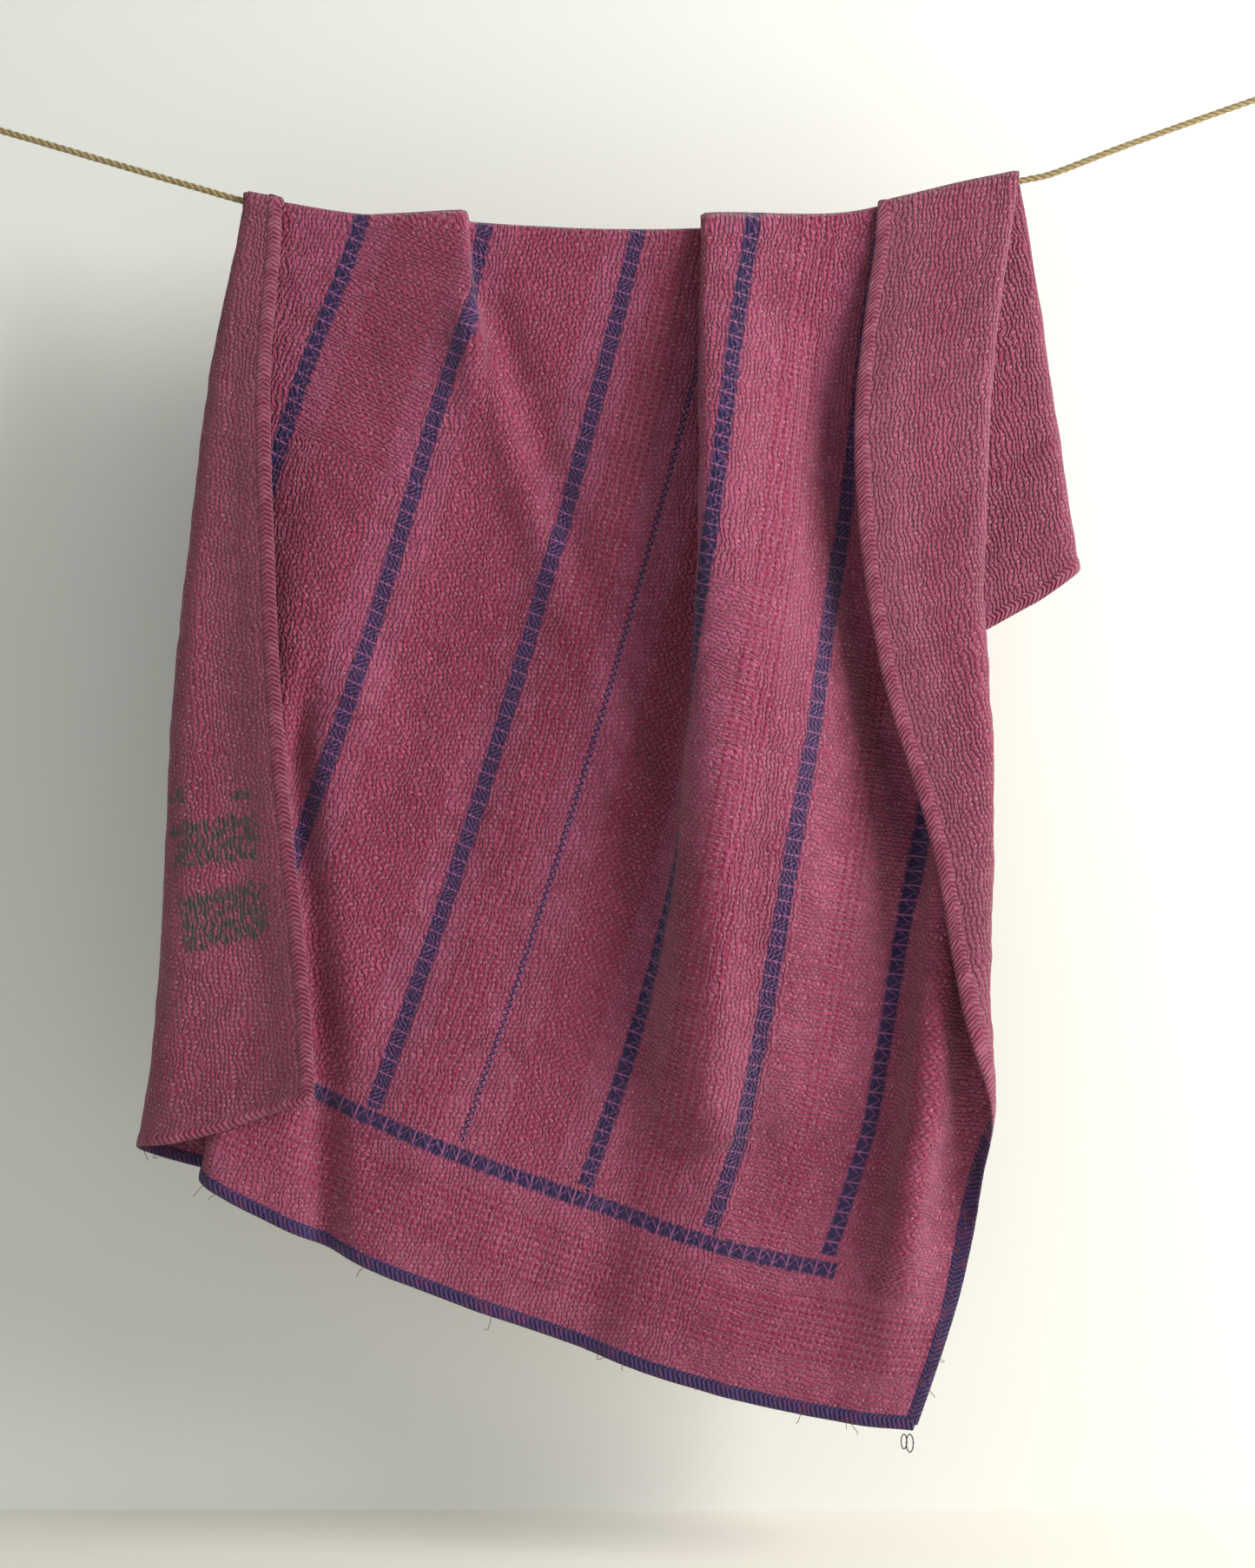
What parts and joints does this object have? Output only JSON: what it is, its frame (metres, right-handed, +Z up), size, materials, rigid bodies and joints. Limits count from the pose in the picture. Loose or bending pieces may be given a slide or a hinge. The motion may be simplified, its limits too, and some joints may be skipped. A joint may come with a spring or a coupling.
{
  "type": "quilt hung on a rope",
  "caption": "Thin hand-stitched cotton quilt draped askew over a taut jute rope, with both side margins turned back and a wall eye at each rope end.",
  "frame": {"origin": "centre of the left wall plate's back face", "axes": "+X from the left wall plate to the right one, +Z up, the quilt's front faces -Y"},
  "size_m": [1.875, 0.2141, 1.716],
  "materials": {
    "face_cotton": "hand-quilted rose cotton with purple and red embroidered bands",
    "inner_cotton": "plain worn cotton, unseen",
    "reverse_cotton": "hand-quilted rose cotton, duller than the face",
    "binding_cotton": "dark purple zigzag-stitched cotton",
    "jute": "three-strand twisted natural fibre",
    "galvanised_steel": "dull zinc"
  },
  "bodies": {
    "line": {"rope": "jute", "left_plate": "galvanised_steel", "left_bow": "galvanised_steel", "left_screw_upper": "galvanised_steel", "left_screw_lower": "galvanised_steel", "left_loop": "jute", "left_knot": "jute", "left_tail": "jute", "right_plate": "galvanised_steel", "right_bow": "galvanised_steel", "right_screw_upper": "galvanised_steel", "right_screw_lower": "galvanised_steel", "right_loop": "jute", "right_knot": "jute", "right_tail": "jute"},
    "quilt_saddle": {"saddle_face_cloth": "face_cotton", "saddle_inner_cloth": "inner_cotton", "saddle_reverse_cloth": "reverse_cotton", "saddle_left_binding": "binding_cotton", "saddle_right_binding": "binding_cotton"},
    "front_drop": {"front_face_cloth": "face_cotton", "front_inner_cloth": "inner_cotton", "front_reverse_cloth": "reverse_cotton", "front_left_binding": "binding_cotton", "front_right_binding": "binding_cotton", "front_hem_binding": "binding_cotton", "corner_loop": "binding_cotton"},
    "back_drop": {"back_face_cloth": "face_cotton", "back_inner_cloth": "inner_cotton", "back_reverse_cloth": "reverse_cotton", "back_left_binding": "binding_cotton", "back_right_binding": "binding_cotton", "back_hem_binding": "binding_cotton"}
  },
  "joints": [
    {"name": "quilt_lift", "type": "slide", "parent": "line", "child": "quilt_saddle", "axis": [0, 0, 1], "range_m": [0, 1.6]},
    {"name": "front_swing", "type": "hinge", "parent": "quilt_saddle", "child": "front_drop", "pos_m": [0.935, -0.038, -0.2], "axis": [-1, 0, 0], "range_deg": [0, 55]},
    {"name": "back_swing", "type": "hinge", "parent": "quilt_saddle", "child": "back_drop", "pos_m": [0.935, 0.038, -0.2], "axis": [1, 0, 0], "range_deg": [0, 55]}
  ]
}
